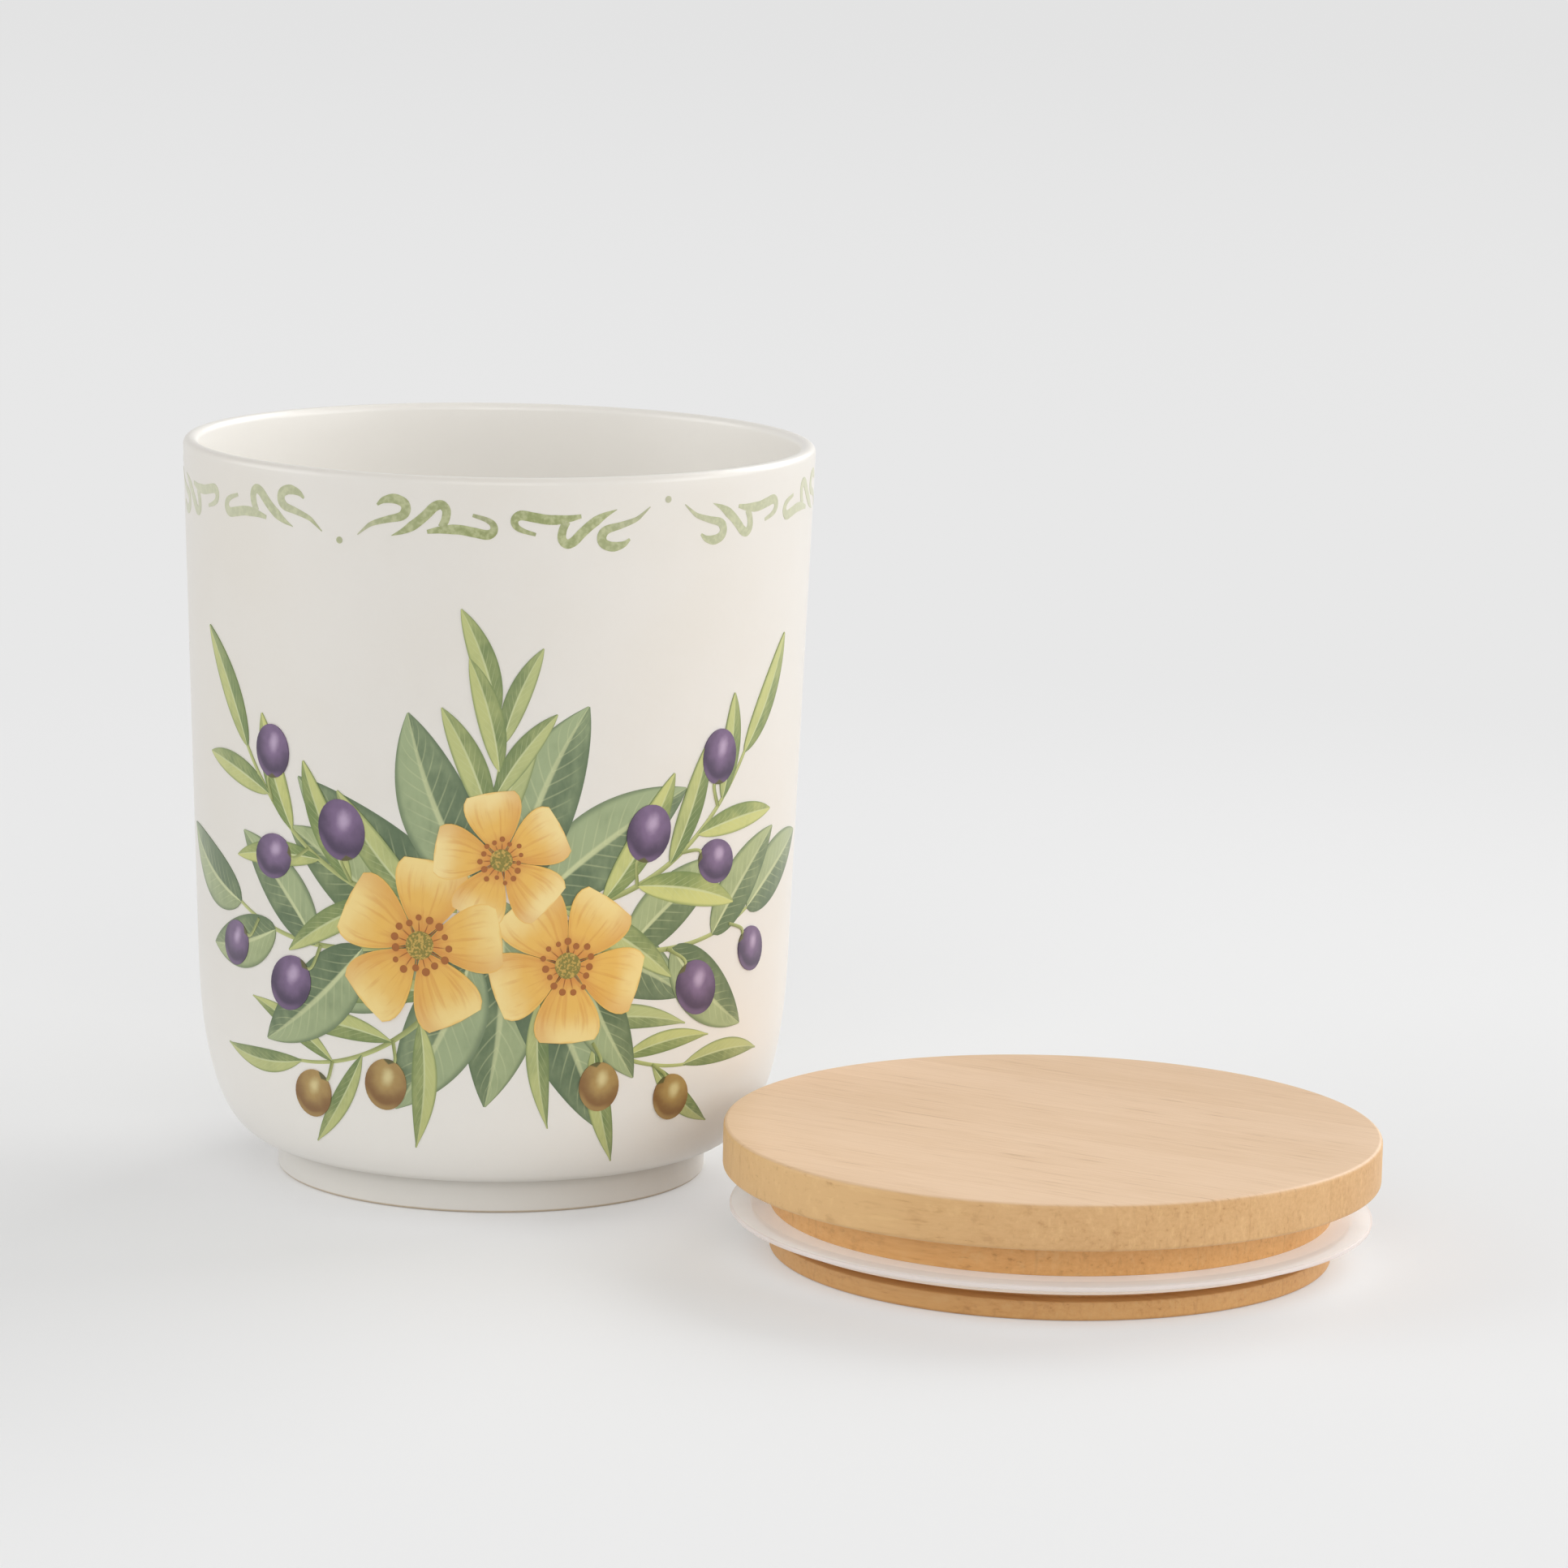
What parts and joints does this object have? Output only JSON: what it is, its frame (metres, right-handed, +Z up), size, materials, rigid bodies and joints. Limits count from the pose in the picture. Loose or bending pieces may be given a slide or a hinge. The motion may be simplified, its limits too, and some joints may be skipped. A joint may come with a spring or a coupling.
{
  "type": "olive jar",
  "caption": "Round glazed ceramic storage jar with a slightly flared wall, curved heel and foot ring, and a bamboo plug lid with a silicone seal ring lying beside it.",
  "frame": {"origin": "centre of the jar's foot, on the surface that the jar stands on", "axes": "+Z up along the jar's axis; +X and -Y towards the lid, which lies in front and to the right of the jar"},
  "size_m": [0.1909, 0.1556, 0.12],
  "materials": {
    "glazed_jar": "glossy",
    "bamboo_board": "satin",
    "bamboo_plug": "satin",
    "seal": "satin"
  },
  "bodies": {
    "jar": {"jar_body": "glazed_jar"},
    "lid": {"lid_board": "bamboo_board", "lid_plug": "bamboo_plug", "seal_ring": "seal"}
  },
  "joints": [
    {"name": "lid_lift", "type": "slide", "parent": "jar", "child": "lid", "axis": [0, 0, 1], "range_m": [0, 0.15]}
  ]
}
